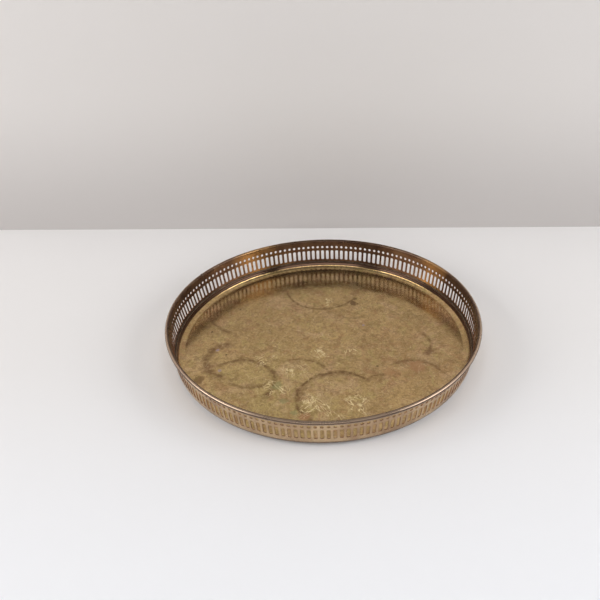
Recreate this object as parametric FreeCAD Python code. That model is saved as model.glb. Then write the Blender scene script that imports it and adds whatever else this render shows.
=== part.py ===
"""Round brass gallery tray: a pressed pan, a pierced gallery strip with a wired edge, and its solder.

Millimetres, +Z up. The origin is the centre of the flat underside that the tray rests on.
Every ring-shaped piece is a section in the XZ plane, turned once round Z.
"""

import FreeCAD, Part
import math
import os

# ---- driving dimensions ----------------------------------------------------------------------
RIM_RADIUS = 152.5         # over the rolled edge: a 305 mm (12 inch) tray
LEAN = 8.5                 # the gallery wall's lean outward, in degrees from upright
COVE_RADIUS = 9.0          # outside radius of the curve from floor to wall
PAN_SHEET = 0.9            # gauge of the pan
STRIP_SHEET = 0.7          # gauge of the gallery strip

EDGE_RADIUS = 1.85         # outside radius of the rolled edge
EDGE_HEIGHT = 31.8         # its centre, above the underside
WIRE_CLEARANCE = 0.05      # between the wire and the sheet rolled round it
CURL_END = -130.0          # where the roll stops, in degrees: just short of the wall

PIERCINGS = 170            # slots, and round holes above them, round the gallery
SLOT_WIDTH = 3.2
SLOT_CORNER = 1.3
SLOT_BOTTOM = 10.35
SLOT_TOP = 21.3
HOLE_DIAMETER = 2.7
HOLE_HEIGHT = 25.35

LAP_START = 31.0           # lap of strip on pan, in degrees down the cove from its outermost point
LAP_END = 10.5
LAP_SEAM = 1.5             # hairline between the strip's foot and the pan's shoulder, in degrees
LAP_FILM = 0.25            # solder between the two sheets
UPSTAND_SHEET = 0.8        # the pan is drawn a little thinner where it is set in behind the strip
JOGGLE_END = 44.0          # where the set-in upstand has come back to the cove, in degrees
FILLET_RISE = 0.8          # how far solder runs up the inside of the wall
TURN_STEPS = 8             # equal steps in which the solder ring is turned

BUTT_AZIMUTH = 147.1       # where the strip's ends meet, in degrees from +X
BUTT_GAP = 0.3             # solder between them
WIRE_GAP = 0.6             # between the wire's two ends
TOOL_DEPTH = 6.0           # length of a piercing punch through the wall
TOOL_MARGIN = 10.0         # how far a cutting slab reaches past the pieces it cuts

# ---- worked out from them --------------------------------------------------------------------
PITCH = 360.0 / PIERCINGS
FIRST_PIERCING = BUTT_AZIMUTH + PITCH / 2      # so that the butt joint falls in a bar
WIRE_RADIUS = EDGE_RADIUS - STRIP_SHEET - WIRE_CLEARANCE
WALL_TOP = 180.0 - LEAN                        # where the wall meets the roll, about its centre
FILM_RADIUS = COVE_RADIUS - STRIP_SHEET        # inside of the strip's foot, about the cove centre
UPSTAND_RADIUS = FILM_RADIUS - LAP_FILM
UPSTAND_INSIDE = UPSTAND_RADIUS - UPSTAND_SHEET
SHOULDER = LAP_START + LAP_SEAM


def at(r, z):
    """A point of a section, at radius r from the tray's axis and height z."""
    return FreeCAD.Vector(r, 0, z)


def cove_centre(edge):
    """The cove's centre, placed so that one straight wall is tangent to both cove and roll."""
    lean = math.radians(LEAN)
    apart = COVE_RADIUS + EDGE_RADIUS - STRIP_SHEET
    inward = (apart + (edge.z - COVE_RADIUS) * math.sin(lean)) / math.cos(lean)
    return at(edge.x - inward, COVE_RADIUS)


EDGE_CENTRE = at(RIM_RADIUS - EDGE_RADIUS, EDGE_HEIGHT)
COVE_CENTRE = cove_centre(EDGE_CENTRE)


def around(centre, radius, degrees):
    """The point of a section at that angle about a centre: 0 is outward, 90 is up."""
    a = math.radians(degrees)
    return centre + at(radius * math.cos(a), radius * math.sin(a))


def line(a, b):
    return Part.LineSegment(a, b).toShape()


def arc(centre, radius, start, end):
    """An arc of a section from one angle to another, in degrees."""
    ends = [around(centre, radius, d) for d in (start, (start + end) / 2, end)]
    return Part.Arc(*ends).toShape()


def turned(edges):
    """The solid that a closed section makes when it is turned once round the tray's axis."""
    face = Part.Face(Part.Wire(Part.__sortEdges__(edges)))
    return face.revolve(FreeCAD.Vector(0, 0, 0), FreeCAD.Vector(0, 0, 1), 360)


def turned_in_steps(edges):
    """The same solid turned in equal steps, which meshes truly where two round faces are very close together."""
    face = Part.Face(Part.Wire(Part.__sortEdges__(edges)))
    step = face.revolve(FreeCAD.Vector(0, 0, 0), FreeCAD.Vector(0, 0, 1), 360 / TURN_STEPS)
    others = [spun(step, 360 / TURN_STEPS * i) for i in range(1, TURN_STEPS)]
    return step.fuse(others).Solids[0]


def spun(shape, degrees):
    """A shape turned about the tray's axis."""
    copy = shape.copy()
    copy.rotate(FreeCAD.Vector(0, 0, 0), FreeCAD.Vector(0, 0, 1), degrees)
    return copy


def joint_slice(width, azimuth):
    """A thin upright slab from inside the wall to outside the rim, used at a joint in a ring."""
    inner, outer = COVE_CENTRE.x - TOOL_MARGIN, RIM_RADIUS + TOOL_MARGIN
    low, high = -TOOL_MARGIN, EDGE_HEIGHT + TOOL_MARGIN
    slab = Part.makeBox(outer - inner, width, high - low, FreeCAD.Vector(inner, -width / 2, low))
    return spun(slab, azimuth)


def base_pan():
    """The pressed dish: flat floor, cove, and a short upstand set in behind the strip's foot."""
    shoulder_out = around(COVE_CENTRE, COVE_RADIUS, -SHOULDER)
    shoulder_in = around(COVE_CENTRE, UPSTAND_RADIUS, -SHOULDER)
    top_out = around(COVE_CENTRE, UPSTAND_RADIUS, -LAP_END)
    top_in = around(COVE_CENTRE, UPSTAND_INSIDE, -LAP_END)
    joggle_top = around(COVE_CENTRE, UPSTAND_INSIDE, -SHOULDER)
    cove_inside = COVE_RADIUS - PAN_SHEET
    joggle_foot = around(COVE_CENTRE, cove_inside, -JOGGLE_END)
    return turned([
        line(at(0, 0), at(COVE_CENTRE.x, 0)),
        arc(COVE_CENTRE, COVE_RADIUS, -90, -SHOULDER),
        line(shoulder_out, shoulder_in),
        arc(COVE_CENTRE, UPSTAND_RADIUS, -SHOULDER, -LAP_END),
        line(top_out, top_in),
        arc(COVE_CENTRE, UPSTAND_INSIDE, -LAP_END, -SHOULDER),
        line(joggle_top, joggle_foot),
        arc(COVE_CENTRE, cove_inside, -JOGGLE_END, -90),
        line(at(COVE_CENTRE.x, PAN_SHEET), at(0, PAN_SHEET)),
        line(at(0, PAN_SHEET), at(0, 0)),
    ])


def plain_strip():
    """The gallery strip before it is pierced and parted: foot, leaning wall and rolled edge."""
    curl_in = EDGE_RADIUS - STRIP_SHEET
    foot_out = around(COVE_CENTRE, COVE_RADIUS, -LAP_START)
    foot_in = around(COVE_CENTRE, FILM_RADIUS, -LAP_START)
    return turned([
        arc(COVE_CENTRE, COVE_RADIUS, -LAP_START, -LEAN),
        line(around(COVE_CENTRE, COVE_RADIUS, -LEAN), around(EDGE_CENTRE, curl_in, WALL_TOP)),
        arc(EDGE_CENTRE, curl_in, WALL_TOP, CURL_END),
        line(around(EDGE_CENTRE, curl_in, CURL_END), around(EDGE_CENTRE, EDGE_RADIUS, CURL_END)),
        arc(EDGE_CENTRE, EDGE_RADIUS, CURL_END, WALL_TOP),
        line(around(EDGE_CENTRE, EDGE_RADIUS, WALL_TOP), around(COVE_CENTRE, FILM_RADIUS, -LEAN)),
        arc(COVE_CENTRE, FILM_RADIUS, -LEAN, -LAP_START),
        line(foot_in, foot_out),
    ])


def punch_start(height):
    """The inner end of a punch whose middle is in the wall at that height."""
    foot = around(COVE_CENTRE, COVE_RADIUS, -LEAN)
    wall = foot.x + (height - foot.z) * math.tan(math.radians(LEAN))
    return wall - STRIP_SHEET / 2 - TOOL_DEPTH / 2


def slot_punch():
    """One slot's punch: an upright bar with rounded corners, through the wall at +X."""
    corner = FreeCAD.Vector(punch_start((SLOT_BOTTOM + SLOT_TOP) / 2), -SLOT_WIDTH / 2, SLOT_BOTTOM)
    bar = Part.makeBox(TOOL_DEPTH, SLOT_WIDTH, SLOT_TOP - SLOT_BOTTOM, corner)
    along = FreeCAD.Vector(1, 0, 0)
    long_edges = [e for e in bar.Edges if e.tangentAt(e.FirstParameter).cross(along).Length < 1e-6]
    return bar.makeFillet(SLOT_CORNER, long_edges)


def hole_punch():
    """One round hole's punch, through the wall at +X."""
    start = FreeCAD.Vector(punch_start(HOLE_HEIGHT), 0, HOLE_HEIGHT)
    return Part.makeCylinder(HOLE_DIAMETER / 2, TOOL_DEPTH, start, FreeCAD.Vector(1, 0, 0))


def gallery_strip(plain):
    """The strip pierced all round, with the butt joint cut where its ends meet."""
    punches = [slot_punch(), hole_punch()]
    turns = [FIRST_PIERCING + i * PITCH for i in range(PIERCINGS)]
    tools = [spun(p, turn) for turn in turns for p in punches]
    return plain.cut(tools + [joint_slice(BUTT_GAP, BUTT_AZIMUTH)])


def butt_solder(plain):
    """The solder that fills the butt joint, from the strip's foot to the end of the roll."""
    return plain.common(joint_slice(BUTT_GAP, BUTT_AZIMUTH))


def rim_wire():
    """The round wire inside the rolled edge, with its ends left a little apart."""
    ring = Part.makeTorus(EDGE_CENTRE.x, WIRE_RADIUS, at(0, EDGE_HEIGHT))
    return ring.cut(joint_slice(WIRE_GAP, BUTT_AZIMUTH + 180))


def foot_solder():
    """The ring of solder between the pan's upstand and the strip's foot, with its seam outside."""
    lean = math.radians(LEAN)
    wall_foot = around(COVE_CENTRE, FILM_RADIUS, -LEAN)
    fillet_top = wall_foot + at(math.sin(lean), math.cos(lean)) * FILLET_RISE
    fillet_foot = around(COVE_CENTRE, (UPSTAND_RADIUS + UPSTAND_INSIDE) / 2, -LAP_END)
    upstand_top = around(COVE_CENTRE, UPSTAND_RADIUS, -LAP_END)
    strip_foot_in = around(COVE_CENTRE, FILM_RADIUS, -LAP_START)
    strip_foot_out = around(COVE_CENTRE, COVE_RADIUS, -LAP_START)
    return turned_in_steps([
        arc(COVE_CENTRE, COVE_RADIUS, -SHOULDER, -LAP_START),
        line(strip_foot_out, strip_foot_in),
        arc(COVE_CENTRE, FILM_RADIUS, -LAP_START, -LEAN),
        line(wall_foot, fillet_top),
        line(fillet_top, fillet_foot),
        line(fillet_foot, upstand_top),
        arc(COVE_CENTRE, UPSTAND_RADIUS, -LAP_END, -SHOULDER),
        line(around(COVE_CENTRE, UPSTAND_RADIUS, -SHOULDER), around(COVE_CENTRE, COVE_RADIUS, -SHOULDER)),
    ])


def main():
    os.makedirs("parts", exist_ok=True)
    plain = plain_strip()
    pieces = {
        "base_pan": base_pan(),
        "gallery_strip": gallery_strip(plain),
        "rim_wire": rim_wire(),
        "foot_solder": foot_solder(),
        "butt_solder": butt_solder(plain),
    }
    for name, shape in pieces.items():
        shape.exportStep(f"parts/{name}.step")
        box = shape.optimalBoundingBox(False)
        print(name, len(shape.Solids), "solid,", round(shape.Volume), "mm3,",
              "valid" if shape.isValid() else "NOT VALID",
              f"z {box.ZMin:.2f} to {box.ZMax:.2f}, x {box.XMin:.2f} to {box.XMax:.2f}")


main()
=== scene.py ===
# %% [markdown]
# # An old brass gallery tray
# A gallery tray is a flat pan with a low pierced fence round it, so that glasses can't slide off.
# This one is a pressed pan, a strip of sheet pierced with slots and holes, and a wire inside its rolled edge.
# The lesson builds each of those pieces as real sheet metal, with two faces and a thickness, and then
# gives it the brown, ringed and scratched skin that brass gets in use.

# %% Load the fixed frame
import math
import random

import bmesh
import bpy
import numpy as np
from mathutils import Matrix, Vector, noise


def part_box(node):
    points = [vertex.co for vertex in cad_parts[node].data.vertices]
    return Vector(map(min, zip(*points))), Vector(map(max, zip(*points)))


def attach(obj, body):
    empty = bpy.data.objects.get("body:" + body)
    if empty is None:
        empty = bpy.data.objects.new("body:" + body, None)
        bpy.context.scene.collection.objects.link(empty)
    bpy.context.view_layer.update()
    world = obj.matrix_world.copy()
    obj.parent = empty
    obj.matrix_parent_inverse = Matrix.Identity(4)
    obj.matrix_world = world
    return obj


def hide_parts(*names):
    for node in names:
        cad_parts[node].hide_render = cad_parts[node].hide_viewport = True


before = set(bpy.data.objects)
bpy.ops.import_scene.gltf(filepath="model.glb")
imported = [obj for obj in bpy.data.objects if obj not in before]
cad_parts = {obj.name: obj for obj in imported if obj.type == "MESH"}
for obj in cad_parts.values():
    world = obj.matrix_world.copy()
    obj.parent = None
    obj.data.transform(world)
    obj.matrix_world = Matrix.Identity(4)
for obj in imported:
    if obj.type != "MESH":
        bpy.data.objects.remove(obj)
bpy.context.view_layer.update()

MM = 0.001

# %% [markdown]
# ## Sizes
# Everything here is worked out from the frame, so that the looks can't drift away from the design.
# The rolled edge gives the rim's radius and height, and the wire gives the size of the roll.
# The gauges of sheet and the bends of the section can't be read from a box, so they are named here.

# %% Read the sizes
_, strip_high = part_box("gallery_strip")
wire_low, wire_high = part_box("rim_wire")
rim_radius = max(strip_high.x, strip_high.y)
edge_height = (wire_low.z + wire_high.z) / 2
edge_radius = strip_high.z - edge_height
wire_radius = (wire_high.z - wire_low.z) / 2
edge_centre = (rim_radius - edge_radius, edge_height)
print(f"rim {rim_radius / MM:.1f} mm, roll {edge_radius / MM:.2f} mm at {edge_height / MM:.1f} mm up")

# %% Name the gauges and bends
LEAN = 8.5                     # the fence's lean outward, in degrees from upright
COVE_RADIUS = 9.0 * MM         # outside of the curve between floor and fence
PAN_SHEET = 0.9 * MM
STRIP_SHEET = 0.7 * MM
UPSTAND_SHEET = 0.8 * MM       # the pan's edge, set in behind the strip's foot
CURL_END = -130                # where the roll stops, in degrees
LAP = (10.5, 31.0, 32.5)       # upstand's top, strip's foot and pan's shoulder, in degrees down the cove
LAP_FILM = 0.25 * MM
JOGGLE_END = 44                # where the set-in edge has come back to the cove, in degrees
FILLET_RISE = 0.8 * MM         # how far solder runs up inside the fence
PIERCINGS = 170
BUTT_AZIMUTH = math.radians(147.1)
BUTT_GAP = 0.3 * MM
lean_sine, lean_cosine = math.sin(math.radians(LEAN)), math.cos(math.radians(LEAN))
apart = COVE_RADIUS + edge_radius - STRIP_SHEET
inward = (apart + (edge_height - COVE_RADIUS) * lean_sine) / lean_cosine
cove_centre = (edge_centre[0] - inward, COVE_RADIUS)
print(f"flat floor {cove_centre[0] / MM:.1f} mm in radius")

# %% [markdown]
# ## Drawing a section
# Sheet metal is easiest to draw as its middle line, as a run of straights and bends.
# Each run here knows its length, and gives a place and the direction that faces outward at any share of it.
# A piece is then its middle line pushed half the gauge to each side, so the gauge stays true in every bend.

# %% Make straights and bends
def straight(start, end):
    """A straight run of a section: its length, and a function of the share travelled."""
    start, end = np.array(start), np.array(end)
    length = float(np.linalg.norm(end - start))
    along = (end - start) / length
    outward = np.array([along[1], -along[0]])
    return length, lambda share: (start + (end - start) * share, outward)


def bend(centre, radius, start, end):
    """A round run about a centre, from one angle to another in degrees."""
    centre = np.array(centre)
    turn = math.radians(end - start)

    def place(share):
        angle = math.radians(start) + turn * share
        spoke = np.array([math.cos(angle), math.sin(angle)])
        return centre + radius * spoke, spoke * math.copysign(1, turn)

    return radius * abs(turn), place


def on_section(runs, travelled):
    """The place and outward direction after that much of a section, in metres."""
    for length, place in runs[:-1]:
        if travelled <= length:
            return place(travelled / length)
        travelled -= length
    length, place = runs[-1]
    return place(min(travelled / length, 1))


def around(centre, radius, degrees):
    angle = math.radians(degrees)
    return centre[0] + radius * math.cos(angle), centre[1] + radius * math.sin(angle)


# %% Draw the strip's middle line
cove_middle = COVE_RADIUS - STRIP_SHEET / 2
curl_radius = edge_radius - STRIP_SHEET / 2
curl_start = 180 - LEAN
wall_foot = around(cove_centre, cove_middle, -LEAN)
strip_runs = [
    bend(cove_centre, cove_middle, -LAP[1], -LEAN),
    straight(wall_foot, around(edge_centre, curl_radius, curl_start)),
    bend(edge_centre, curl_radius, curl_start, CURL_END),
]
run_ends = np.cumsum([length for length, _ in strip_runs])
print("strip developed height", round(run_ends[-1] / MM, 1), "mm")


def up_sheet(height):
    """How far up the sheet a height of the leaning wall is."""
    return run_ends[0] + (height - wall_foot[1]) / lean_cosine


def round_curl(angle):
    """How far up the sheet an angle of the roll is, in degrees about its centre."""
    return run_ends[1] + math.radians(curl_start - angle) * curl_radius


# %% [markdown]
# ## A tray that has been used
# Thin sheet is never quite round or flat after years of carrying. The fence is a little out of round at the
# top, single bars are pushed in and out, and the floor has gentle hollows that make reflections wander.
# These are small moves of the mesh, not only bumps in a material, so they show in outline and reflection too.
# Every ring piece goes through the same function, so that the wire and the solder stay in the sheet.

# %% Bend the rings together
# Each wave is its number of lobes round the tray, its phase and its size in mm; no lobes is an even lift.
OUT_OF_ROUND = ((2, 1.5, 0.55), (3, -2.2, 0.45), (4, 2.6, 0.40), (5, -2.2, 0.25))
RISE_AND_FALL = ((0, 0.0, 0.4), (1, 1.6, 0.42), (2, 0.0, 0.24), (3, 1.6, 0.47), (4, -3.1, 0.29))
STIFF_BELOW = 7 * MM            # the cove holds the fence true up to here
FREE_ABOVE = 30 * MM            # and from here up the waves have their full size


def waves(azimuth, lobes):
    return sum(size * math.cos(count * azimuth + phase) for count, phase, size in lobes) * MM


def smooth(value, low, high):
    share = min(max((value - low) / (high - low), 0), 1)
    return share * share * (3 - 2 * share)


def in_ring(radius, height, azimuth):
    """A point of a ring piece, after the knocks that the whole fence has taken."""
    share = smooth(height, STIFF_BELOW, FREE_ABOVE)
    radius += waves(azimuth, OUT_OF_ROUND) * share
    height += waves(azimuth, RISE_AND_FALL) * share
    return radius * math.cos(azimuth), radius * math.sin(azimuth), height


# %% Turn vertices and faces into a piece
def new_piece(name, points, faces, node, slot, marks=None):
    """A smooth mesh object that stands for a CAD node, with named marks on its vertices."""
    mesh = bpy.data.meshes.new(name)
    mesh.from_pydata([tuple(p) for p in points], [], faces)
    for mark, values in (marks or {}).items():
        mesh.attributes.new(mark, "FLOAT", "POINT").data.foreach_set("value", np.array(values, np.float32))
    shape = bmesh.new()
    shape.from_mesh(mesh)
    bmesh.ops.recalc_face_normals(shape, faces=shape.faces)
    shape.to_mesh(mesh)
    shape.free()
    mesh.shade_smooth()
    piece = bpy.data.objects.new(name, mesh)
    bpy.context.scene.collection.objects.link(piece)
    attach(piece, "root")
    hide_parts(node)
    print(f"{name}: {len(mesh.vertices)} vertices, {len(mesh.polygons)} faces")
    return piece


# %% [markdown]
# ## The pan
# The pan is one disc, pressed so that its edge turns up in a cove, with its last few millimetres set in to
# sit behind the strip's foot. A lathe of its closed section would do for the cove, but the floor needs
# enough points inside to hold its shallow hollows, so the section has many rings across the floor.
# The hollows lift both faces together, and never push the underside below the table.

# %% Draw the pan's section
FLOOR_RINGS = 64
SEGMENTS = 360
SHOULDER_STEP = 0.1 * MM        # how far the pan's shoulder is set in where the strip's foot starts
floor_edge = cove_centre[0]


def floor_lift(x, y):
    """How far the floor has been sprung up at a place: nothing where the tray stands, near its edge."""
    reach = math.hypot(x, y) / floor_edge
    free = 1 - smooth(reach, 0.80, 0.985)
    broad = noise.noise(Vector((x, y, 0)) / (75 * MM))
    fine = noise.noise(Vector((x + 1, y, 2)) / (26 * MM))
    return free * (0.42 + 0.26 * broad + 0.12 * fine) * MM


def arc_points(centre, radius, start, end, steps):
    return [around(centre, radius, start + (end - start) * i / steps) for i in range(steps + 1)]


upstand_out = COVE_RADIUS - STRIP_SHEET - LAP_FILM
upstand_in = upstand_out - UPSTAND_SHEET
floor_top = [(floor_edge * i / FLOOR_RINGS, PAN_SHEET) for i in range(1, FLOOR_RINGS)]
inside_rows = [
    *floor_top,
    *arc_points(cove_centre, COVE_RADIUS - PAN_SHEET, -90, -JOGGLE_END, 14),
    *arc_points(cove_centre, upstand_in, -LAP[2], -LAP[0] - 2, 6),
]
INSIDE_ROWS = len(inside_rows)
pan_section = [
    *inside_rows,
    around(cove_centre, upstand_in + UPSTAND_SHEET / 2, -LAP[0]),
    *arc_points(cove_centre, upstand_out, -LAP[0] - 2, -LAP[2], 6),
    around(cove_centre, COVE_RADIUS - SHOULDER_STEP, -LAP[2]),
    *arc_points(cove_centre, COVE_RADIUS, -LAP[2] - 1, -90, 16),
    *[(radius, 0.0) for radius, _ in reversed(floor_top)],
]


# %% Turn the pan
def pan_point(radius, height, azimuth):
    x, y, z = in_ring(radius, height, azimuth)
    return x, y, z + floor_lift(x, y)


def ring_index(row, column, columns=SEGMENTS):
    return row * columns + column % columns


pan_points, pan_faces = [], []
for radius, height in pan_section:
    for column in range(SEGMENTS):
        pan_points.append(pan_point(radius, height, math.tau * column / SEGMENTS))
for row in range(len(pan_section) - 1):
    for column in range(SEGMENTS):
        pan_faces.append((ring_index(row, column), ring_index(row, column + 1),
                          ring_index(row + 1, column + 1), ring_index(row + 1, column)))
for row, height in ((0, PAN_SHEET), (len(pan_section) - 1, 0.0)):
    centre = len(pan_points)
    pan_points.append(pan_point(0, height, 0))
    pan_faces += [(centre, ring_index(row, c), ring_index(row, c + 1)) for c in range(SEGMENTS)]
inside = [1.0] * SEGMENTS * INSIDE_ROWS + [0.0] * SEGMENTS * (len(pan_section) - INSIDE_ROWS) + [1.0, 0.0]
pan = new_piece("pan", pan_points, pan_faces, "base_pan", "pan_brass", {"inside": inside})

# %% [markdown]
# ## The pierced strip
# A punch press cuts a strip one slot and one hole at a time, then rollers bend it into a ring.
# A boolean would cut the openings too, but it leaves long thin faces that spoil reflections.
# So the strip is drawn flat, as the press sees it: each pitch is a cell of quads that flows round its slot
# and its hole, with a little of the press's unevenness. The flat sheet is then carried onto the section.

# %% Lay out one pitch
COLUMNS = 4                            # faces across one pitch
SLOT_WIDTH = 3.2 * MM
SLOT_CORNER = 1.3 * MM
HOLE_RADIUS = 1.35 * MM
SLOT_HEIGHTS = (10.35 * MM, 21.3 * MM)  # the slots' lower and upper ends, above the table
HOLE_HEIGHT = 25.35 * MM
SLOT_MARGIN = 0.9 * MM                 # plain sheet kept in a cell below its slot
HOLE_MARGIN = 0.6 * MM                 # and above its hole
slot_low, slot_high = (up_sheet(height) for height in SLOT_HEIGHTS)
hole_centre = up_sheet(HOLE_HEIGHT)
middle_radius = on_section(strip_runs, (slot_low + slot_high) / 2)[0][0]
cell_low = slot_low - SLOT_MARGIN
cell_split = (slot_high + hole_centre - HOLE_RADIUS) / 2
cell_high = hole_centre + HOLE_RADIUS + HOLE_MARGIN
sheet_length = math.tau * middle_radius - BUTT_GAP
pitch = sheet_length / PIERCINGS
rng = random.Random(12)


def box_loop(left, right, heights, columns=COLUMNS):
    """Points round a cell, from its lower left corner, anticlockwise."""
    across = [left + (right - left) * i / columns for i in range(columns + 1)]
    bottom = [(x, heights[0]) for x in across[:-1]]
    far_side = [(right, h) for h in heights[:-1]]
    top = [(x, heights[-1]) for x in reversed(across[1:])]
    near_side = [(left, h) for h in reversed(heights[1:])]
    return bottom + far_side + top + near_side


def slot_loop(centre, low, high, width, corner, columns=COLUMNS, straights=4):
    """Points round a slot's outline that pair with box_loop's, one to one."""
    half = width / 2
    quarter = corner * math.pi / 2
    cap = 2 * quarter + 2 * (half - corner)

    def cap_point(share):
        run = share * cap
        if run < quarter:
            angle = math.pi + run / corner
            return -half + corner + corner * math.cos(angle), corner * math.sin(angle)
        if run > cap - quarter:
            angle = 1.5 * math.pi + (run - cap + quarter) / corner
            return half - corner + corner * math.cos(angle), corner * math.sin(angle)
        return run - quarter - half + corner, -corner

    steps = columns + 4
    cap_line = [cap_point(i / steps) for i in range(steps + 1)]
    lower = [(centre + x, low + corner + z) for x, z in cap_line]
    upper = [(centre - x, high - corner - z) for x, z in cap_line]
    sides = [(high - low - 2 * corner) * i / straights + low + corner for i in range(1, straights)]
    right = [(centre + half, h) for h in sides]
    left = [(centre - half, h) for h in reversed(sides)]
    loop = lower + right + upper + left
    return loop[2:] + loop[:2]


def hole_loop(centre, height, radius, columns=COLUMNS, rows=4):
    """Points round a hole that pair with box_loop's."""
    turns = [-135 + 90 * i / columns for i in range(columns)] + [-45 + 90 * i / rows for i in range(rows)]
    turns += [turn + 180 for turn in turns]
    return [(centre + radius * math.cos(math.radians(t)), height + radius * math.sin(math.radians(t)))
            for t in turns]


def side_heights(low, high, first, last, straights=4):
    """Heights of a slot cell's side points, level with the slot's own."""
    between = [first + (last - first) * i / straights for i in range(straights + 1)]
    return [low, (low + first) / 2, *between, (last + high) / 2, high]


# %% Draw the flat pierced sheet
class FlatSheet:
    """Points of the unrolled strip, shared where cells meet, and the faces between them."""

    def __init__(self):
        self.index, self.points, self.faces, self.cut = {}, [], [], []

    def point(self, place, cut=0.0):
        key = (round(place[0] / MM * 500), round(place[1] / MM * 500))
        if key not in self.index:
            self.index[key] = len(self.points)
            self.points.append(place)
            self.cut.append(cut)
        return self.index[key]

    def ring(self, outer, inner, cut=(0.0, 0.0)):
        """Quads between two loops with the same number of points."""
        out = [self.point(p, cut[0]) for p in outer]
        ins = [self.point(p, cut[1]) for p in inner]
        for i in range(len(out)):
            j = (i + 1) % len(out)
            self.faces.append((out[i], out[j], ins[j], ins[i]))

    def band(self, left, right, low, high, columns=COLUMNS):
        """One row of plain quads across a pitch."""
        for i in range(columns):
            a, b = (left + (right - left) * (i + k) / columns for k in (0, 1))
            self.faces.append(tuple(self.point(p) for p in ((a, low), (b, low), (b, high), (a, high))))


def between(outer, inner, share):
    return [(o[0] + (i[0] - o[0]) * share, o[1] + (i[1] - o[1]) * share) for o, i in zip(outer, inner)]


COLLAR = 0.6                           # where the ring of quads round an opening is split
sheet = FlatSheet()
foot_rows = np.linspace(0, cell_low, 5)
lip_rows = np.concatenate([
    np.linspace(cell_high, run_ends[1], 4)[:-1],
    np.linspace(run_ends[1], run_ends[2], 23),
])
group_shift = 0.0
for cell in range(PIERCINGS):
    left, right = cell * pitch, (cell + 1) * pitch
    if cell % 9 == 0:
        group_shift = rng.uniform(-0.10, 0.10) * MM
    centre = (left + right) / 2 + group_shift + rng.uniform(-0.05, 0.05) * MM
    slip = rng.uniform(-0.12, 0.12) * MM
    width = SLOT_WIDTH + rng.uniform(-0.10, 0.08) * MM
    low, high = slot_low + slip, slot_high + slip
    heights = side_heights(cell_low, cell_split, slot_low + SLOT_CORNER, slot_high - SLOT_CORNER)
    outer = box_loop(left, right, heights)
    slot = slot_loop(centre, low, high, width, SLOT_CORNER)
    collar = between(outer, slot, COLLAR)
    sheet.ring(outer, collar)
    sheet.ring(collar, slot, (0.0, 1.0))
    outer = box_loop(left, right, list(np.linspace(cell_split, cell_high, COLUMNS + 1)))
    hole = hole_loop(centre + rng.uniform(-0.1, 0.1) * MM, hole_centre + slip / 2, HOLE_RADIUS)
    collar = between(outer, hole, COLLAR)
    sheet.ring(outer, collar)
    sheet.ring(collar, hole, (0.0, 1.0))
    for rows in (foot_rows, lip_rows):
        for low, high in zip(rows[:-1], rows[1:]):
            sheet.band(left, right, low, high)
print("flat sheet:", len(sheet.points), "points,", len(sheet.faces), "faces")

# %% Carry the sheet onto the section, with its two faces
bar_push = [rng.uniform(-0.16, 0.16) * MM for _ in range(PIERCINGS + 1)]


def sheet_point(run, travelled, side):
    """A point on one face of the strip: side is half the gauge, outward or inward."""
    (radius, height), outward = on_section(strip_runs, travelled)
    azimuth = BUTT_AZIMUTH + (BUTT_GAP / 2 + run) / middle_radius
    share = (travelled - slot_low) / (slot_high - slot_low)
    if 0 < share < 1:
        radius += bar_push[round(run / pitch)] * math.sin(math.pi * share)
    return in_ring(radius + outward[0] * side, height + outward[1] * side, azimuth)


def rim_edges(faces):
    """The sheet's free edges, each in the direction that its one face gives it."""
    count = {}
    for face in faces:
        for a, b in zip(face, face[1:] + face[:1]):
            count[(a, b)] = True
    return [(a, b) for a, b in count if (b, a) not in count]


half = STRIP_SHEET / 2
total = len(sheet.points)
strip_points = [sheet_point(*p, half) for p in sheet.points] + [sheet_point(*p, -half) for p in sheet.points]
strip_faces = list(sheet.faces)
strip_faces += [tuple(total + i for i in reversed(face)) for face in sheet.faces]
strip_faces += [(b, a, total + a, total + b) for a, b in rim_edges(sheet.faces)]
# Angles about the roll's centre, in degrees: where the roll begins, its crown, and the dark line painted on
# its outer side as shade and dirt, which starts sharply and fades as the sheet turns under.
ROLL_BEGINS = 150
CROWN = (105, 75)
LINE_STARTS, LINE_FADES = (44, 26), (0, -16)
LINE_FADE = 0.7


def curl_share(travelled, span):
    """How far a place on the sheet has gone from one angle of the roll to another, from 0 to 1."""
    return smooth(travelled, *(round_curl(angle) for angle in span))


rolled = [smooth(t, run_ends[1], round_curl(ROLL_BEGINS)) for _, t in sheet.points]
crown = [curl_share(t, CROWN) for _, t in sheet.points]
shade_and_dirt_line = [curl_share(t, LINE_STARTS) * (1 - LINE_FADE * curl_share(t, LINE_FADES))
             for _, t in sheet.points]
low_part = [1 - smooth(t, 0, cell_low) for _, t in sheet.points]
# The mark for the inside of the roll and the line along its outer side is painted shade and dirt.
strip_marks = {
    "cut": sheet.cut * 2,
    "inner": [0.0] * total + [1 - c for c in crown],
    "roll": [0.0] * total + crown,
    "roll_shade_and_dirt": rolled + shade_and_dirt_line,
    "foot": low_part * 2,
}
strip = new_piece("gallery", strip_points, strip_faces, "gallery_strip", "gallery_brass", strip_marks)

# %% Take the sharpness off the punched edges
worn_edge = strip.modifiers.new("worn_edges", "BEVEL")
worn_edge.width = 0.11 * MM
worn_edge.segments = 1
worn_edge.limit_method = "ANGLE"
worn_edge.angle_limit = math.radians(50)
worn_edge.harden_normals = True

# %% [markdown]
# ## The wire in the roll
# The roll is stiff because a wire runs inside it. It shows only as a dark line of metal in the gap under
# the roll, but the sheet is shaped round it, so it is made too, as a swept ring with its two ends apart.

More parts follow.
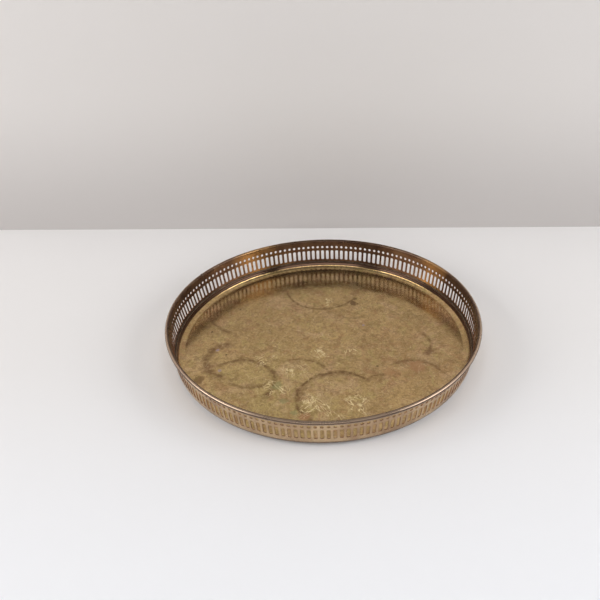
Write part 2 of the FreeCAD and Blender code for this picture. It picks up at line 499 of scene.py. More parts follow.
# %% Sweep a closed section round the tray
def sweep(section, azimuths, closed):
    """Points and faces of a section carried round; an open sweep gets flat ends."""
    points = [in_ring(r, z, a) for a in azimuths for r, z in section(a)]
    wide = len(points) // len(azimuths)
    turns = len(azimuths) if closed else len(azimuths) - 1
    faces = []
    for turn in range(turns):
        here, there = turn * wide, (turn + 1) % len(azimuths) * wide
        for i in range(wide):
            j = (i + 1) % wide
            faces.append((here + i, here + j, there + j, there + i))
    if not closed:
        faces += [tuple(range(wide)), tuple(range(len(points) - 1, len(points) - 1 - wide, -1))]
    return points, faces


def wire_section(_azimuth):
    return [around(edge_centre, wire_radius, 22.5 * i) for i in range(16)]


WIRE_GAP = 0.6 * MM
half_gap = WIRE_GAP / 2 / edge_centre[0]
wire_start = BUTT_AZIMUTH + math.pi + half_gap
wire_turn = np.linspace(wire_start, wire_start + math.tau - 2 * half_gap, SEGMENTS + 1)
wire = new_piece("edge_wire", *sweep(wire_section, wire_turn, closed=False), "rim_wire", "wire")

# %% [markdown]
# ## The solder
# Two seams hold the tray together. A ring of solder fills the lap between pan and strip and leaves a thin
# uneven fillet inside. A short seam closes the strip where its ends meet, and a drop stands on the roll.
# Solder is poured, not cut, so both are swept sections that swell and thin at random.

# %% Run the solder ring
SKIN = 0.04 * MM                # how far solder stands proud of the sheet


def foot_section(azimuth):
    """The lap's film, the hairline outside and the fillet inside, from the seam round to it."""
    along = Vector((math.cos(azimuth), math.sin(azimuth), 0)) * 9
    swell = 0.16 * noise.noise(along) * MM
    film = upstand_out + SKIN / 2
    back = COVE_RADIUS - STRIP_SHEET - SKIN / 2
    start = around(cove_centre, back, -LEAN)
    climb = FILLET_RISE + swell
    return [
        *[around(cove_centre, COVE_RADIUS + SKIN, -d) for d in (LAP[2] + 0.6, LAP[1] - 0.6)],
        *[around(cove_centre, back, -d) for d in np.linspace(LAP[1] - 0.6, LEAN, 5)],
        (start[0] + climb * lean_sine, start[1] + climb * lean_cosine),
        around(cove_centre, upstand_in + 0.35 * MM - swell / 2, -LAP[0] + 0.6),
        *[around(cove_centre, film, -d) for d in np.linspace(LAP[0] + 1, LAP[2] + 0.3, 4)],
    ]


ring_turn = [math.tau * i / SEGMENTS for i in range(SEGMENTS)]
foot = new_piece("foot_seam", *sweep(foot_section, ring_turn, closed=True), "foot_solder", "solder")

# %% Fill the butt joint
SEAM_ROWS = 90
seam_across = np.linspace(-0.5, 0.5, 5)
DROP = (round_curl(95), 1.7 * MM)         # where the drop stands on the roll, and its reach
DROP_HEIGHT = 0.42 * MM
DROP_SPREAD = 2.4 * MM


def seam_point(row, share, side):
    travelled = run_ends[-1] * row / SEAM_ROWS
    (radius, height), outward = on_section(strip_runs, travelled)
    drop = math.exp(-((travelled - DROP[0]) / DROP[1]) ** 2) if side < 0 else 0
    swelling = math.cos(share * math.pi)
    thick = half + SKIN * swelling + DROP_HEIGHT * drop * swelling
    uneven = 1.15 + 0.3 * noise.noise(Vector((0, 0, travelled / (2 * MM))))
    wide = BUTT_GAP * uneven + DROP_SPREAD * drop
    azimuth = BUTT_AZIMUTH + share * wide / radius
    return in_ring(radius + outward[0] * thick * side, height + outward[1] * thick * side, azimuth)


seam_loop = [(s, 1) for s in seam_across] + [(s, -1) for s in reversed(seam_across)]
seam_points = [seam_point(row, *place) for row in range(SEAM_ROWS + 1) for place in seam_loop]
wide = len(seam_loop)
seam_faces = [(r * wide + i, r * wide + (i + 1) % wide, (r + 1) * wide + (i + 1) % wide, (r + 1) * wide + i)
              for r in range(SEAM_ROWS) for i in range(wide)]
seam_faces += [tuple(range(wide)), tuple(range(SEAM_ROWS * wide + wide - 1, SEAM_ROWS * wide - 1, -1))]
butt = new_piece("butt_seam", seam_points, seam_faces, "butt_solder", "solder")

# %% [markdown]
# ## A kit for drawing materials
# A material here is a small drawing made of nodes. An effect that is used many times, such as a ring left by
# a glass or a field of hairline scratches, is a node group with named inputs, built once.
# All patterns are placed in millimetres on the tray itself, so they stay put from every side.

# %% Add nodes in one line each
def add(tree, kind, inputs=None, **settings):
    """Add a node, choose its settings, and fill its inputs with values or links."""
    node = tree.nodes.new(kind)
    for name, value in settings.items():
        setattr(node, name, value)
    for name, value in (inputs or {}).items():
        fill(tree, node.inputs[name], value)
    return node


def fill(tree, socket, value):
    if isinstance(value, bpy.types.NodeSocket):
        tree.links.new(value, socket)
    else:
        socket.default_value = value


def maths(tree, operation, *values, clamp=False):
    node = add(tree, "ShaderNodeMath", operation=operation, use_clamp=clamp)
    for socket, value in zip(node.inputs, values):
        fill(tree, socket, value)
    return node.outputs[0]


def vectors(tree, operation, *values, answer="Vector"):
    node = add(tree, "ShaderNodeVectorMath", operation=operation)
    for socket, value in zip(node.inputs, values):
        fill(tree, socket, value)
    return node.outputs[answer]


def ramp(tree, value, low, high, start=0.0, end=1.0):
    """Carry a value from one range to another with soft ends."""
    inputs = {"Value": value, "From Min": low, "From Max": high, "To Min": start, "To Max": end}
    return add(tree, "ShaderNodeMapRange", inputs, interpolation_type="SMOOTHSTEP").outputs["Result"]


def mix(tree, share, under, over):
    """Lay one colour over another by a share."""
    node = add(tree, "ShaderNodeMix", data_type="RGBA")
    fill(tree, node.inputs[0], share)
    for socket, colour in ((node.inputs[6], under), (node.inputs[7], over)):
        fill(tree, socket, (*colour, 1.0) if isinstance(colour, tuple) else colour)
    return node.outputs[2]


def stained(tree, colour, mask, share, stain):
    """Lay a stain over a colour where a mask says, by at most that share."""
    return mix(tree, maths(tree, "MULTIPLY", mask, share), colour, stain)


def strongest(tree, masks):
    """The greatest of several masks at each place."""
    most = masks[0]
    for mask in masks[1:]:
        most = maths(tree, "MAXIMUM", most, mask)
    return most


def coordinate(tree, place, axis):
    """One coordinate of a place: X, Y or Z."""
    return add(tree, "ShaderNodeSeparateXYZ", {"Vector": place}).outputs[axis]


def noise_value(tree, place, size, detail=3.0, roughness=0.5, twist=0.0):
    """A cloud of grey whose lumps are about that many millimetres across."""
    inputs = {"Scale": 1.0, "Detail": detail, "Roughness": roughness, "Distortion": twist}
    spread = maths(tree, "DIVIDE", 1.0, size)
    inputs["Vector"] = vectors(tree, "MULTIPLY", place, joined(tree, spread))
    return add(tree, "ShaderNodeTexNoise", inputs).outputs["Fac"]


def joined(tree, value):
    node = add(tree, "ShaderNodeCombineXYZ", {"X": value, "Y": value, "Z": value})
    return node.outputs["Vector"]


# %% Start a group with named sockets
KINDS = {float: "NodeSocketFloat", tuple: "NodeSocketVector"}


def group(name, inputs, outputs=("Mask",)):
    """A node group whose inputs are named with their defaults, and whose outputs are grey values."""
    tree = bpy.data.node_groups.new(name, "ShaderNodeTree")
    for label, value in inputs.items():
        socket = tree.interface.new_socket(label, in_out="INPUT", socket_type=KINDS[type(value)])
        socket.default_value = value
    for label in outputs:
        tree.interface.new_socket(label, in_out="OUTPUT", socket_type="NodeSocketFloat")
    return tree, tree.nodes.new("NodeGroupInput").outputs, tree.nodes.new("NodeGroupOutput").inputs


def use(tree, shared, inputs, answer="Mask"):
    """Put a shared group into a material and give back one of its outputs."""
    node = add(tree, "ShaderNodeGroup", node_tree=shared)
    for name, value in inputs.items():
        fill(tree, node.inputs[name], value)
    return node.outputs[answer]


# %% [markdown]
# ## Clouds, rings, spots and scratches
# Brass darkens in clouds where hands and cloths reach it unevenly. A wet glass leaves part of a circle,
# thicker on one side. Drips leave spots, and anything dragged across leaves hairlines of bright metal. Those
# four effects, at different sizes, make up nearly all of the tray's skin.

# %% Cloud group
cloud, given, answers = group("Cloud", {
    "Place": (0.0, 0.0, 0.0), "Size": 30.0, "Low": 0.4, "High": 0.6, "Twist": 0.5, "Detail": 4.0})
grey = noise_value(cloud, given["Place"], given["Size"], given["Detail"], 0.55, given["Twist"])
fill(cloud, answers["Mask"], ramp(cloud, grey, given["Low"], given["High"]))
print("cloud group:", len(cloud.nodes), "nodes")

# %% Ring group
ring, given, answers = group("Ring stain", {
    "Place": (0.0, 0.0, 0.0), "Centre": (0.0, 0.0, 0.0), "Radius": 30.0, "Width": 2.0,
    "Facing": 0.0, "Spread": 3.2, "Wobble": 1.5})
flat = vectors(ring, "MULTIPLY", given["Place"], (1.0, 1.0, 0.0))
from_centre = vectors(ring, "SUBTRACT", flat, given["Centre"])
distance = vectors(ring, "LENGTH", from_centre, answer="Value")
wander = maths(ring, "SUBTRACT", noise_value(ring, given["Place"], 13.0, 2.0), 0.5)
off_line = maths(ring, "MULTIPLY_ADD", wander, maths(ring, "MULTIPLY", given["Wobble"], 4.0), distance)
off_line = maths(ring, "ABSOLUTE", maths(ring, "SUBTRACT", off_line, given["Radius"]))
swell = ramp(ring, noise_value(ring, given["Place"], 8.0), 0.3, 0.7, 0.6, 1.5)
thick = maths(ring, "MULTIPLY", given["Width"], swell)
line = ramp(ring, maths(ring, "DIVIDE", off_line, thick), 0.0, 1.0, 1.0, 0.0)
crumbled = ramp(ring, noise_value(ring, given["Place"], 3.5, 4.0), 0.3, 0.62, 0.35, 1.0)
line = maths(ring, "MULTIPLY", line, crumbled)
north, east = (coordinate(ring, from_centre, axis) for axis in "YX")
bearing = maths(ring, "ARCTAN2", north, east)
astray = maths(ring, "WRAP", maths(ring, "SUBTRACT", bearing, given["Facing"]), math.pi, -math.pi)
astray = maths(ring, "ABSOLUTE", astray)
kept = ramp(ring, maths(ring, "SUBTRACT", astray, given["Spread"]), -0.25, 0.05, 1.0, 0.0)
fill(ring, answers["Mask"], maths(ring, "MULTIPLY", line, kept))
print("ring group:", len(ring.nodes), "nodes")

# %% Spot group
spot, given, answers = group("Spot", {
    "Place": (0.0, 0.0, 0.0), "Centre": (0.0, 0.0, 0.0), "Radius": 4.0, "Ragged": 0.5, "Edge": 0.35})
flat = vectors(spot, "MULTIPLY", given["Place"], (1.0, 1.0, 0.0))
distance = vectors(spot, "DISTANCE", flat, given["Centre"], answer="Value")
share = maths(spot, "DIVIDE", distance, given["Radius"])
lumps = noise_value(spot, given["Place"], maths(spot, "MULTIPLY", given["Radius"], 0.8), 4.0, 0.6)
lumps = maths(spot, "SUBTRACT", lumps, 0.5)
share = maths(spot, "MULTIPLY_ADD", lumps, maths(spot, "MULTIPLY", given["Ragged"], 4.0), share)
fill(spot, answers["Mask"], ramp(spot, share, maths(spot, "SUBTRACT", 1.0, given["Edge"]), 1.0, 1.0, 0.0))
print("spot group:", len(spot.nodes), "nodes")

# %% Scratch group
scratch, given, answers = group("Scratches", {
    "Place": (0.0, 0.0, 0.0), "Angle": 0.0, "Long": 30.0, "Apart": 1.2, "Fine": 0.02, "Share": 0.5})
turned = add(scratch, "ShaderNodeVectorRotate", {"Vector": given["Place"], "Angle": given["Angle"]},
             rotation_type="Z_AXIS").outputs["Vector"]
bow = noise_value(scratch, given["Place"], 40.0, 1.0)
shrink = add(scratch, "ShaderNodeCombineXYZ", {
    "X": maths(scratch, "DIVIDE", 1.0, given["Long"]),
    "Y": maths(scratch, "DIVIDE", 1.0, given["Apart"]), "Z": 0.0}).outputs["Vector"]
stretched = vectors(scratch, "MULTIPLY", turned, shrink)
stretched = vectors(scratch, "ADD", stretched, joined(scratch, maths(scratch, "MULTIPLY", bow, 3.0)))
hair = add(scratch, "ShaderNodeTexNoise", {"Vector": stretched, "Scale": 1.0, "Detail": 1.0}).outputs["Fac"]
hair = maths(scratch, "ABSOLUTE", maths(scratch, "SUBTRACT", hair, 0.5))
hair = ramp(scratch, hair, maths(scratch, "MULTIPLY", given["Fine"], 0.3), given["Fine"], 1.0, 0.0)
where = add(scratch, "ShaderNodeTexNoise", {"Vector": stretched, "Scale": 0.35, "Detail": 2.0}).outputs["Fac"]
bare, full = (maths(scratch, "SUBTRACT", level, given["Share"]) for level in (1.0, 1.12))
where = ramp(scratch, where, bare, full)
fill(scratch, answers["Mask"], maths(scratch, "MULTIPLY", hair, where))
print("scratch group:", len(scratch.nodes), "nodes")

# %% [markdown]
# ## The colours of old brass
# Clean brass is a pale gold. Under a thin brown film it goes olive, then reddish where copper shows through,
# and nearly black in corners that no cloth reaches. A few drops have gone green. The colours are kept in one
# place so that the pan and the fence age in the same way.

# %% Name the colours
GOLD = (0.60, 0.415, 0.18)
WORN = (0.92, 0.72, 0.42)
OLIVE = (0.42, 0.285, 0.12)
TAN = (0.66, 0.45, 0.25)
REDDISH = (0.43, 0.235, 0.115)
BROWN = (0.20, 0.115, 0.055)
RING_BROWN = (0.20, 0.115, 0.05)
FILM = (0.10, 0.057, 0.038)
SOOT_AND_SHADE = (0.045, 0.025, 0.015)
GREEN = (0.34, 0.35, 0.16)
YELLOW_GREEN = (0.53, 0.415, 0.16)
BRIGHT = (1.0, 0.82, 0.46)
MAUVE = (0.42, 0.33, 0.36)
UNDERSIDE_DIRT_AND_SHADE = (0.15, 0.085, 0.05)
FENCE_PALE = (0.60, 0.44, 0.27)
FENCE_BROWN = (0.42, 0.28, 0.17)
ROLL_BROWN = (0.44, 0.325, 0.25)
PAINTED_GLOW = (0.44, 0.25, 0.10)
EDGE_BROWN = (0.20, 0.085, 0.05)


def millimetres(tree):
    place = add(tree, "ShaderNodeTexCoord").outputs["Object"]
    return vectors(tree, "MULTIPLY", place, (1000.0, 1000.0, 1000.0))


def start_material(name):
    """A fresh material: itself, its tree, its surface node, and places in millimetres."""
    material = bpy.data.materials.new(name)
    material.use_nodes = True
    tree = material.node_tree
    return material, tree, tree.nodes["Principled BSDF"], millimetres(tree)


def mark_value(tree, name):
    """A mark stored on the vertices."""
    return add(tree, "ShaderNodeAttribute", attribute_name=name).outputs["Fac"]


def relief(tree, height, depth, under=None):
    """Turn a grey height into a bump of that many millimetres."""
    node = add(tree, "ShaderNodeBump", {"Height": height, "Distance": depth * MM, "Strength": 1.0})
    if under is not None:
        fill(tree, node.inputs["Normal"], under)
    return node.outputs["Normal"]


# %% [markdown]
# ## The floor's skin
# First the clouds, from large to small, then what people left on it: rings, tails of spilt drink, drips,
# and last the scratches, which cut through everything else to bright metal.

# %% List the clouds
CLOUDS = (                     # size, shift, low, high, colour, share
    (34.0, (90.0, 40.0, 0.0), 0.48, 0.66, TAN, 0.70),
    (24.0, (40.0, 15.0, 80.0), 0.47, 0.62, OLIVE, 0.60),
    (15.0, (10.0, 70.0, 30.0), 0.50, 0.64, REDDISH, 0.55),
    (12.0, (50.0, 20.0, 60.0), 0.51, 0.68, YELLOW_GREEN, 0.65),
    (5.0, (0.0, 0.0, 0.0), 0.44, 0.64, BROWN, 0.42),
    (4.0, (33.0, 8.0, 0.0), 0.52, 0.68, WORN, 0.22),
    (1.7, (0.0, 5.0, 0.0), 0.44, 0.60, BROWN, 0.28),
    (1.5, (7.0, 3.0, 0.0), 0.55, 0.68, WORN, 0.34),
)

# %% Cloud the floor
def moved(tree, place, shift):
    """The same places, shifted, so that one group gives an unrelated pattern."""
    return vectors(tree, "ADD", place, shift)


def patch(tree, place, centre, radius, ragged=0.5, edge=0.9):
    """A soft-edged zone about a centre, the same at every height."""
    return use(tree, spot, {"Place": place, "Centre": (*centre, 0.0), "Radius": radius,
                            "Ragged": ragged, "Edge": edge})


ZONES = (                      # centre, radius, colour, share
    ((-35, -78), 95.0, YELLOW_GREEN, 0.75),
    ((95, -30), 85.0, REDDISH, 0.45),
    ((-70, 40), 75.0, OLIVE, 0.35),
)
floor_brass, tree, surface, place = start_material("pan_brass")
broad = use(tree, cloud, {"Place": place, "Size": 70.0, "Low": 0.36, "High": 0.66})
colour = stained(tree, GOLD, broad, 0.40, OLIVE)
for centre, radius, stain, share in ZONES:
    colour = stained(tree, colour, patch(tree, place, centre, radius, 0.35, 0.95), share, stain)
for size, shift, low, high, stain, share in CLOUDS:
    patches = use(tree, cloud, {"Place": moved(tree, place, shift), "Size": size, "Low": low, "High": high,
                                "Detail": 5.0, "Twist": 1.2})
    colour = stained(tree, colour, patches, share, stain)
print(len(CLOUDS), "kinds of cloud")

# %% Leave the rings
RINGS = (                      # centre, radius, width, facing, spread, wobble, darkness
    ((12, -87), 37.5, 3.6, 2.4, 1.80, 0.7, 1.0),
    ((12, -87), 34.5, 5.5, 2.6, 1.50, 0.7, 0.45),
    ((-87, -26), 27.0, 8.0, 3.1, 1.45, 0.9, 0.90),
    ((-79, -60), 33.0, 4.8, 0.75, 1.70, 0.9, 0.85),
    ((-70, -42), 26.0, 4.0, -1.6, 0.90, 1.6, 0.70),
    ((2, 97), 40.0, 2.8, 4.5, 1.30, 0.8, 0.9),
    ((80, -8), 25.6, 3.2, 0.0, 0.80, 0.8, 0.8),
    ((82, -68), 33.0, 3.6, 1.3, 0.90, 0.8, 0.8),
    ((-26, -62), 34.0, 3.0, 1.15, 0.85, 0.9, 0.75),
    ((52, -72), 16.0, 2.8, 1.7, 0.55, 2.2, 0.85),
    ((-72, 60), 47.0, 3.2, -2.36, 0.50, 1.6, 0.80),
    ((30, 62), 24.0, 2.6, -1.6, 0.80, 2.4, 0.55),
    ((-10, 20), 60.0, 3.0, -1.2, 0.50, 2.4, 0.30),
)
for centre, radius, width, facing, spread, wobble, darkness in RINGS:
    mark = use(tree, ring, {"Place": place, "Centre": (*centre, 0.0), "Radius": radius, "Width": width,
                            "Facing": facing, "Spread": spread, "Wobble": wobble})
    colour = stained(tree, colour, mark, darkness, RING_BROWN)
print(len(RINGS), "rings")

# %% Leave the drips and smudges
SPOTS = (                      # centre, radius, raggedness, colour, share
    ((-44, -67), 6.0, 0.6, GREEN, 0.50),
    ((-37, -88), 4.0, 0.6, GREEN, 0.50),
    ((-27, -104), 4.0, 0.6, GREEN, 0.50),
    ((34, 66), 5.0, 0.5, RING_BROWN, 0.9),
    ((36, 74), 3.0, 0.5, RING_BROWN, 0.8),
    ((-17, -109), 5.0, 0.6, REDDISH, 0.9),
    ((-104, -10), 2.2, 0.5, MAUVE, 0.7),
    ((-99, -42), 2.2, 0.5, MAUVE, 0.7),
    ((42, 25), 1.8, 0.5, MAUVE, 0.8),
    ((76, 113), 3.0, 0.6, MAUVE, 0.5),
    ((-118, -55), 6.0, 0.7, RING_BROWN, 0.7),
    ((-122, -22), 4.0, 0.7, RING_BROWN, 0.5),
    ((88, -44), 9.0, 0.7, REDDISH, 0.7),
    ((60, -50), 7.0, 0.7, REDDISH, 0.5),
    ((-113, 21), 1.4, 0.3, SOOT_AND_SHADE, 0.8),
    ((-95, -18), 1.2, 0.3, SOOT_AND_SHADE, 0.8),
    ((51, -42), 1.3, 0.3, SOOT_AND_SHADE, 0.8),
    ((-87, 60), 1.2, 0.3, SOOT_AND_SHADE, 0.8),
    ((103, -23), 5.0, 0.7, BROWN, 0.6),
)
for centre, radius, ragged, stain, share in SPOTS:
    mark = use(tree, spot, {"Place": place, "Centre": (*centre, 0.0), "Radius": radius, "Ragged": ragged})
    colour = stained(tree, colour, mark, share, stain)
print(len(SPOTS), "spots")

# %% Scratch through to the metal
CLUSTERS = (                   # centre and radius of the places where scratches crowd
    ((-58, -25), 12.0), ((-27, -43), 14.0), ((-3, -20), 10.0), ((26, -17), 9.0), ((-6, -92), 16.0),
    ((12, -108), 16.0), ((28, -96), 14.0), ((-18, -106), 9.0), ((-45, -72), 14.0), ((5, 70), 9.0),
)
HAIRLINES = (                  # angle in radians, length and spacing in mm, fineness, share of the floor
    (0.5, 26.0, 2.6, 0.012, 0.42),
    (2.0, 20.0, 2.2, 0.012, 0.40),
    (1.2, 34.0, 4.0, 0.008, 0.40),
    (2.9, 16.0, 3.0, 0.012, 0.36),
)
STROKES = (                    # the same, for the broad scratches of the crowded places
    (0.9, 14.0, 3.6, 0.032, 0.52),
    (2.4, 12.0, 3.2, 0.032, 0.52),
    (1.7, 10.0, 4.4, 0.032, 0.52),
)


def scratches(tree, place, kinds):
    """Every kind of scratch in a list, laid over one another."""
    names = ("Angle", "Long", "Apart", "Fine", "Share")
    return strongest(tree, [use(tree, scratch, {"Place": place, **dict(zip(names, kind))}) for kind in kinds])


hairlines = scratches(tree, place, HAIRLINES)
colour = stained(tree, colour, hairlines, 0.55, WORN)
scraped = strongest(tree, [patch(tree, place, centre, radius, 0.6, 0.6) for centre, radius in CLUSTERS])
strokes = maths(tree, "MULTIPLY", scratches(tree, place, STROKES), scraped)
colour = stained(tree, colour, strokes, 0.95, BRIGHT)
print(len(CLUSTERS), "worn places")

# %% Let the film grow where the cove meets the fence, and paint dirt and shade on the outside
inside_face = mark_value(tree, "inside")
corner = ramp(tree, coordinate(tree, place, "Z"), 3.0, 4.6)
colour = stained(tree, colour, corner, inside_face, FILM)
# The pan's outside and underside get a dark brown that is dirt and painted shade; it shows as a dark line
# along the bottom edge.
under = ramp(tree, inside_face, 0.4, 0.6, 1.0, 0.0)
colour = stained(tree, colour, under, 0.9, UNDERSIDE_DIRT_AND_SHADE)

# %% Give the floor its sheen
fill(tree, surface.inputs["Base Color"], colour)
surface.inputs["Metallic"].default_value = 0.93
grain = noise_value(tree, place, 1.6, 3.0, 0.6)
sheen = ramp(tree, noise_value(tree, place, 24.0, 4.0), 0.3, 0.7, 0.13, 0.23)
fill(tree, surface.inputs["Roughness"], sheen)
dents = relief(tree, noise_value(tree, place, 12.0, 2.0), 0.06)
fill(tree, surface.inputs["Normal"], relief(tree, maths(tree, "SUBTRACT", grain, hairlines), 0.004, dents))
pan.data.materials.append(floor_brass)

# %% [markdown]
# ## The fence's skin
# The outside of the fence is wiped often and is pale. Its inside is hard to reach between the bars, so a dark
# brown film has grown there, with a painted glow of reflected light in two places. Dirt stays on the punched
# edges. The lap at the foot is darker with dirt and painted shade, and so are the inside of the roll and a
# line along the roll's outer side. The marks stored on the vertices say which face is which, and where the
# edges and the line are.

# %% Age the strip
PAINTED_GLOW_PLACES = (((-68, 126), 38.0), ((120, 84), 26.0))      # centre and radius
fence_brass, tree, surface, place = start_material("gallery_brass")
clouds = use(tree, cloud, {"Place": place, "Size": 26.0, "Low": 0.38, "High": 0.68})
colour = mix(tree, clouds, FENCE_PALE, FENCE_BROWN)
specks = use(tree, cloud, {"Place": place, "Size": 3.0, "Low": 0.5, "High": 0.8, "Detail": 5.0})
colour = stained(tree, colour, specks, 0.35, BROWN)
colour = stained(tree, colour, mark_value(tree, "roll"), 0.8, ROLL_BROWN)
# Painted glow: two warm patches on the inner film stand for reflected window light.
painted_glow = strongest(tree, [patch(tree, place, centre, radius, 0.4, 0.9) for centre, radius in PAINTED_GLOW_PLACES])
film = stained(tree, FILM, painted_glow, 0.7, PAINTED_GLOW)
cover = ramp(tree, noise_value(tree, place, 14.0), 0.25, 0.6, 0.90, 1.0)
colour = stained(tree, colour, mark_value(tree, "inner"), cover, film)
edge = maths(tree, "POWER", mark_value(tree, "cut"), 2.0)
colour = stained(tree, colour, edge, 0.85, EDGE_BROWN)
# Darker brown towards the strip's foot: dirt in the lap, and painted shade along the bottom edge.
foot_dirt_and_shade = ramp(tree, mark_value(tree, "foot"), 0.45, 0.95, 0.0, 0.85)
colour = mix(tree, foot_dirt_and_shade, colour, BROWN)
# Near black painted shade and dirt inside the roll and along the line on its outer side.
colour = stained(tree, colour, mark_value(tree, "roll_shade_and_dirt"), 0.8, SOOT_AND_SHADE)
fill(tree, surface.inputs["Base Color"], colour)
surface.inputs["Metallic"].default_value = 0.9
fill(tree, surface.inputs["Roughness"], ramp(tree, noise_value(tree, place, 12.0, 4.0), 0.3, 0.7, 0.24, 0.36))
dents = relief(tree, noise_value(tree, place, 7.0, 2.0), 0.12)
fill(tree, surface.inputs["Normal"], relief(tree, noise_value(tree, place, 1.2, 3.0), 0.008, dents))
strip.data.materials.append(fence_brass)

# %% [markdown]
# ## Wire and solder
# The wire is steel gone brown in the damp of the roll. Solder is a soft grey metal, and here the tray's brown
# film covers it; it is smooth where it ran and pitted where it froze last.

# %% Dull the wire and the solder
STEEL_LIGHT, STEEL_DARK = (0.20, 0.16, 0.13), (0.08, 0.05, 0.035)
SOLDER_LIGHT, SOLDER_DARK = (0.17, 0.13, 0.10), (0.08, 0.055, 0.04)
DULL = 0.45                     # roughness where the metal is smoothest


def dulled_metal(name, light, dark, roughness):
    material, tree, surface, place = start_material(name)
    patches = use(tree, cloud, {"Place": place, "Size": 5.0, "Low": 0.35, "High": 0.7})
    fill(tree, surface.inputs["Base Color"], mix(tree, patches, light, dark))
    surface.inputs["Metallic"].default_value = 0.9
    fill(tree, surface.inputs["Roughness"], ramp(tree, patches, 0.0, 1.0, roughness, roughness + 0.15))
    fill(tree, surface.inputs["Normal"], relief(tree, noise_value(tree, place, 1.0, 4.0), 0.02))
    print(name, "has", len(tree.nodes), "nodes")
    return material


wire.data.materials.append(dulled_metal("wire_steel", STEEL_LIGHT, STEEL_DARK, DULL))
solder = dulled_metal("dull_solder", SOLDER_LIGHT, SOLDER_DARK, DULL)
foot.data.materials.append(solder)
butt.data.materials.append(solder)

# %% [markdown]
# ## The studio
# The tray stands on a white table a hand's width in front of a pale wall, which darkens higher up. Both carry
# painted light: the wall is painted darker at its foot and higher up, and the table brighter towards the
# camera.
# Brass is a mirror that has gone soft, so most of its colour is a picture of the room: the wall, a window at
# each side, a low wide one in front, and a dim ceiling. The room is drawn as a gradient on the sky, dark low
# down in front, and the windows are large soft lamps.

# %% Lay the table and the wall
# The wall is painted with shade: darker at its foot, palest from the height below, and darker again high up,
# which dims what the cove and the roll reflect.
WALL_FOOT_SHADE, WALL_PALE, WALL_HIGH_SHADE = (0.52, 0.495, 0.485), (0.66, 0.635, 0.62), (0.42, 0.41, 0.40)
PALE_FROM = 190.0               # heights on the wall, in mm
DARKENS = (400.0, 800.0)
# The table is painted lighter and bluer towards the camera and darker and warmer towards the tray: painted
# light falling off.
TABLE_NEAR_LIT, TABLE_FAR_SHADED = (0.88, 0.89, 0.92), (0.80, 0.785, 0.78)
TABLE_LIGHT_FADE = (-330.0, 40.0)     # from the camera's side to the tray, in mm
WALL_TURN = math.radians(-3.45)
WALL_AWAY = 0.2414              # this and the sizes below are in metres
WALL_SUNK = 0.001
WALL_TALL = 2.5
ROOM_HALF = 3


def flat_board(name, corners, material):
    mesh = bpy.data.meshes.new(name)
    mesh.from_pydata(corners, [], [(0, 1, 2, 3)])
    board = bpy.data.objects.new(name, mesh)
    bpy.context.scene.collection.objects.link(board)
    mesh.materials.append(material)
    return board


def paint(name, build):
    material, tree, surface, place = start_material(name)
    fill(tree, surface.inputs["Base Color"], build(tree, place))
    surface.inputs["Roughness"].default_value = 0.85
    surface.inputs["Specular IOR Level"].default_value = 0.2
    return material


def wall_painted_shade(tree, place):
    up = coordinate(tree, place, "Z")
    pale = mix(tree, ramp(tree, up, 0.0, PALE_FROM), WALL_FOOT_SHADE, WALL_PALE)
    return mix(tree, ramp(tree, up, *DARKENS), pale, WALL_HIGH_SHADE)


def table_painted_light(tree, place):
    return mix(tree, ramp(tree, coordinate(tree, place, "Y"), *TABLE_LIGHT_FADE), TABLE_NEAR_LIT, TABLE_FAR_SHADED)


table_corners = [(x * ROOM_HALF, y * ROOM_HALF, 0) for x, y in ((-1, -1), (1, -1), (1, 1), (-1, 1))]
flat_board("table", table_corners, paint("table_white", table_painted_light))
across = Vector((math.cos(WALL_TURN), math.sin(WALL_TURN), 0)) * ROOM_HALF
middle = Vector((0, WALL_AWAY, -WALL_SUNK))
rise = Vector((0, 0, WALL_TALL))
wall_corners = [middle - across, middle + across, middle + across + rise, middle - across + rise]
flat_board("wall", wall_corners, paint("wall_white", wall_painted_shade))


# %% Light the room
def lamp(name, place, size, power, colour):
    """A soft rectangle of light that faces the tray."""
    light = bpy.data.lights.new(name, "AREA")
    light.shape = "RECTANGLE"
    light.size, light.size_y = size
    light.energy = power
    light.color = colour
    holder = bpy.data.objects.new(name, light)
    bpy.context.scene.collection.objects.link(holder)
    holder.location = place
    holder.rotation_euler = (-Vector(place)).to_track_quat("-Z", "Y").to_euler()


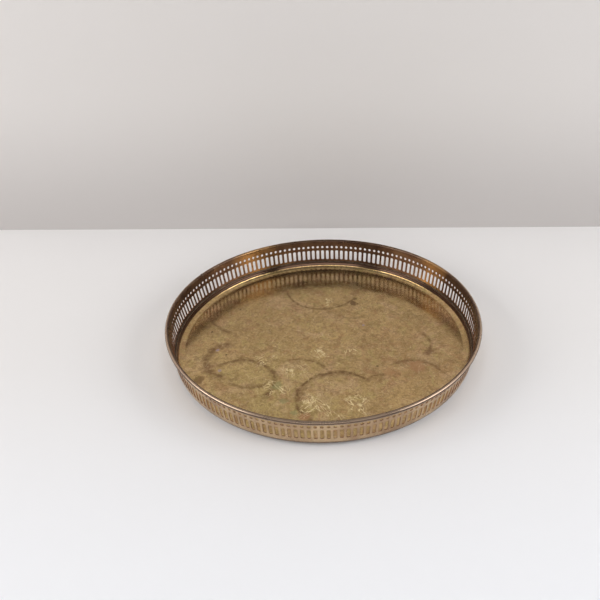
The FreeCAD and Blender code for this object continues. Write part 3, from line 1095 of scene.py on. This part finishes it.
def toward(azimuth, height, reach):
    """A place in a direction from the tray, given in degrees and metres."""
    a, h = math.radians(azimuth), math.radians(height)
    return (reach * math.cos(h) * math.cos(a), reach * math.cos(h) * math.sin(a), reach * math.sin(h))


LAMPS = (                       # name, azimuth and height in degrees, reach and size in metres, watts, colour
    ("window_left", (-162, 30, 1.8), (1.3, 0.9), 17.0, (1.0, 0.99, 0.98)),
    ("window_right", (-20, 30, 1.8), (1.2, 0.9), 17.0, (0.98, 0.99, 1.0)),
    ("front_fill", (-90, 22, 2.4), (2.8, 0.6), 15.0, (1.0, 1.0, 1.0)),
)
for name, stand, size, power, colour in LAMPS:
    lamp(name, toward(*stand), size, power, colour)

# %% Paint the rest of the room
ROOM_WALLS, ROOM_LOW_FRONT, ROOM_CEILING = (0.42, 0.415, 0.41), (0.13, 0.115, 0.10), (0.20, 0.20, 0.205)
world = bpy.data.worlds.new("room")
bpy.context.scene.world = world
world.use_nodes = True
tree = world.node_tree
aim = add(tree, "ShaderNodeTexCoord").outputs["Generated"]
front = ramp(tree, coordinate(tree, aim, "Y"), -0.75, -0.1, 1.0, 0.0)
low = ramp(tree, coordinate(tree, aim, "Z"), 0.55, 0.85, 1.0, 0.0)
room = stained(tree, ROOM_WALLS, front, low, ROOM_LOW_FRONT)
overhead = ramp(tree, coordinate(tree, aim, "Z"), 0.72, 0.92)
room = mix(tree, overhead, room, ROOM_CEILING)
fill(tree, tree.nodes["Background"].inputs["Color"], room)

# %% [markdown]
# ## The camera
# The camera looks down at the tray from the front at about thirty-five degrees, from an arm's length.

# %% Set the camera
RIGHT = Vector((0.99908, 0.00723, -0.04228))
UP = Vector((0.03124, 0.55281, 0.83272))
FORWARD = Vector((-0.02940, 0.83327, -0.55208))
EYE = Vector((0.0, -584.5, 438.5)) * MM
lens = bpy.data.cameras.new("camera")
lens.lens = 43.84
lens.sensor_width = 36.0
camera = bpy.data.objects.new("camera", lens)
bpy.context.scene.collection.objects.link(camera)
basis = Matrix((RIGHT, UP, -FORWARD)).transposed().to_4x4()
camera.matrix_world = Matrix.Translation(EYE) @ basis
bpy.context.scene.camera = camera
bpy.context.scene.view_settings.view_transform = "Standard"
